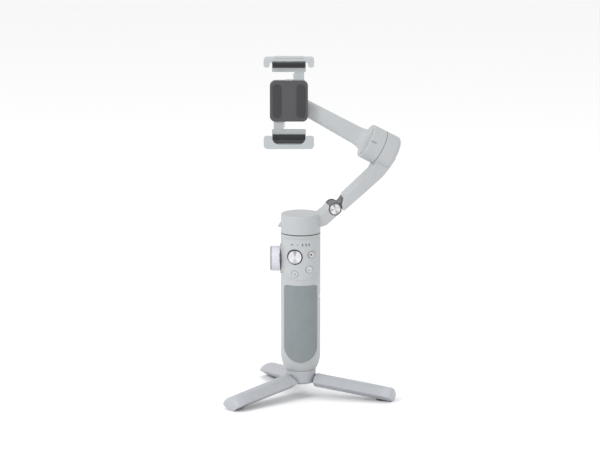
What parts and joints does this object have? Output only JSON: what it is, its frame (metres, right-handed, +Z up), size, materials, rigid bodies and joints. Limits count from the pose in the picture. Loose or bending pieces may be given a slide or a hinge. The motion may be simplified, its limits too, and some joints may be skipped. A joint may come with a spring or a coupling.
{
  "type": "gimbal stabilizer",
  "caption": "Three-axis phone gimbal: slim round handle with controls, folding arm, inclined tilt motor, rear roll motor, spring clamp and a folding tripod foot.",
  "frame": {"origin": "on the table, under the handle's axis, between the three feet", "axes": "+Z up along the handle and the pan axis, -Y towards the person facing the controls, +X to the arm's side"},
  "size_m": [0.1637, 0.1555, 0.319],
  "materials": {
    "body_shell": "fine satin",
    "front_panel": "fine satin",
    "grip_rubber": "soft matt",
    "light_pipe": "clear",
    "inner_plastic": "matt",
    "battery_wrap": "film",
    "circuit_board": "solder mask",
    "bright_steel": "ground",
    "brass_bush": "turned",
    "spun_metal": "spun",
    "button_grey": "satin",
    "knurled_grip": "knurled",
    "cap_grey": "satin",
    "dark_ring": "matt",
    "motor_copper": "enamelled wire",
    "motor_steel": "machined",
    "clamp_grey": "satin",
    "pad_rubber": "matt",
    "gear_nylon": "moulded",
    "tripod_grey": "satin"
  },
  "bodies": {
    "handle": {"handle_shell": "body_shell", "control_panel": "front_panel", "grip_insert": "grip_rubber", "indicator_lights": "light_pipe", "inner_chassis": "inner_plastic", "battery_cell": "battery_wrap", "main_board": "circuit_board", "button_board": "circuit_board", "charging_port": "bright_steel", "base_thread_insert": "brass_bush", "joystick_base": "inner_plastic", "wheel_boss": "body_shell", "wheel_encoder": "inner_plastic", "trigger_pin": "bright_steel", "tripod_hub": "tripod_grey", "leg_pins": "bright_steel", "pan_motor_base": "dark_ring", "pan_stator": "motor_copper", "pan_bearings": "bright_steel"},
    "pan_arm": {"pan_housing": "body_shell", "pan_rotor": "motor_steel", "hinge_pin": "bright_steel", "hinge_bezels": "dark_ring", "hinge_caps": "spun_metal"},
    "pan_lock": {"pan_lock_tab": "button_grey"},
    "fold_arm": {"hinge_barrel": "dark_ring", "upper_arm": "body_shell", "arm_cover": "body_shell", "tilt_stator": "motor_copper", "tilt_bearings": "bright_steel"},
    "tilt_head": {"roll_arm": "body_shell", "roll_rear_cap": "body_shell", "tilt_rotor": "motor_steel", "roll_stator": "motor_copper", "roll_bearings": "bright_steel"},
    "clamp": {"clamp_base": "clamp_grey", "clamp_plate": "inner_plastic", "clamp_pads": "pad_rubber", "clamp_springs": "bright_steel", "roll_rotor": "motor_steel"},
    "pinion": {"sync_pinion": "gear_nylon"},
    "upper_jaw": {"upper_jaw": "clamp_grey", "upper_jaw_pads": "pad_rubber"},
    "lower_jaw": {"lower_jaw": "clamp_grey", "lower_jaw_pads": "pad_rubber"},
    "stick_yoke": {"joystick_yoke": "inner_plastic"},
    "stick": {"joystick_cap": "spun_metal"},
    "record_button": {"record_button": "button_grey"},
    "mode_button": {"mode_button": "button_grey"},
    "power_button": {"power_button": "button_grey"},
    "wheel": {"wheel_knob": "knurled_grip", "wheel_cap": "cap_grey"},
    "trigger": {"trigger": "button_grey"},
    "right_leg": {"right_leg": "tripod_grey", "right_foot_pad": "pad_rubber"},
    "left_leg": {"left_leg": "tripod_grey", "left_foot_pad": "pad_rubber"},
    "rear_leg": {"rear_leg": "tripod_grey", "rear_foot_pad": "pad_rubber"}
  },
  "joints": [
    {"name": "pan_turn", "type": "hinge", "parent": "handle", "child": "pan_arm", "pos_m": [0, 0, 0.165], "axis": [0, 0, 1], "range_deg": [-160, 170]},
    {"name": "pan_lock_slide", "type": "slide", "parent": "pan_arm", "child": "pan_lock", "axis": [0, 0, -1], "range_m": [0, 0.0022]},
    {"name": "arm_fold", "type": "hinge", "parent": "pan_arm", "child": "fold_arm", "pos_m": [0.03004, 0.0053, 0.1774], "axis": [0.1736, -0.9848, 0], "range_deg": [0, 80]},
    {"name": "tilt_turn", "type": "hinge", "parent": "fold_arm", "child": "tilt_head", "pos_m": [0.07228, 0.01275, 0.2324], "axis": [-0.8695, -0.1533, 0.4695], "range_deg": [-80, 90]},
    {"name": "roll_turn", "type": "hinge", "parent": "tilt_head", "child": "clamp", "pos_m": [-0.0108, 0.017, 0.277], "axis": [0, 1, 0], "range_deg": [-100, 190]},
    {"name": "upper_jaw_slide", "type": "slide", "parent": "clamp", "child": "upper_jaw", "axis": [0, 0, 1], "range_m": [-0.007, 0.008]},
    {"name": "lower_jaw_slide", "type": "slide", "parent": "clamp", "child": "lower_jaw", "axis": [0, 0, -1], "range_m": [-0.007, 0.008]},
    {"name": "pinion_turn", "type": "hinge", "parent": "clamp", "child": "pinion", "pos_m": [-0.0108, 0.005, 0.277], "axis": [0, -1, 0], "range_deg": [-101, 115]},
    {"name": "stick_up_down", "type": "hinge", "parent": "handle", "child": "stick_yoke", "pos_m": [-0.0053, -0.0126, 0.1349], "axis": [1, 0, 0], "range_deg": [-8, 8], "stiffness_Nm_per_rad": 0.02},
    {"name": "stick_left_right", "type": "hinge", "parent": "stick_yoke", "child": "stick", "pos_m": [-0.0053, -0.0126, 0.1349], "axis": [0, 0, 1], "range_deg": [-8, 8], "stiffness_Nm_per_rad": 0.02},
    {"name": "record_press", "type": "slide", "parent": "handle", "child": "record_button", "axis": [0, 1, 0], "range_m": [0, 0.0006], "stiffness_N_per_m": 800, "springref_m": -0.0008},
    {"name": "mode_press", "type": "slide", "parent": "handle", "child": "mode_button", "axis": [0, 1, 0], "range_m": [0, 0.0006], "stiffness_N_per_m": 800, "springref_m": -0.0008},
    {"name": "power_press", "type": "slide", "parent": "handle", "child": "power_button", "axis": [0, 1, 0], "range_m": [0, 0.0006], "stiffness_N_per_m": 800, "springref_m": -0.0008},
    {"name": "wheel_turn", "type": "hinge", "parent": "handle", "child": "wheel", "pos_m": [-0.024, 0, 0.1304], "axis": [1, 0, 0], "continuous": true},
    {"name": "trigger_pull", "type": "hinge", "parent": "handle", "child": "trigger", "pos_m": [0, 0.014, 0.139], "axis": [-1, 0, 0], "range_deg": [0, 8], "stiffness_Nm_per_rad": 0.1, "springref_deg": -11.46},
    {"name": "right_leg_fold", "type": "hinge", "parent": "handle", "child": "right_leg", "pos_m": [0.0084, -0.00225, 0.0176], "axis": [0.2588, 0.9659, 0], "range_deg": [0, 82]},
    {"name": "left_leg_fold", "type": "hinge", "parent": "handle", "child": "left_leg", "pos_m": [-0.00631, -0.00599, 0.0176], "axis": [0.6884, -0.7254, 0], "range_deg": [0, 82]},
    {"name": "rear_leg_fold", "type": "hinge", "parent": "handle", "child": "rear_leg", "pos_m": [-0.00283, 0.00823, 0.0176], "axis": [-0.9455, -0.3256, 0], "range_deg": [0, 82]}
  ],
  "couplings": [
    {"joint": "lower_jaw_slide", "follows": "upper_jaw_slide", "ratio": 1},
    {"joint": "pinion_turn", "follows": "upper_jaw_slide", "rad_per_m": 250}
  ]
}
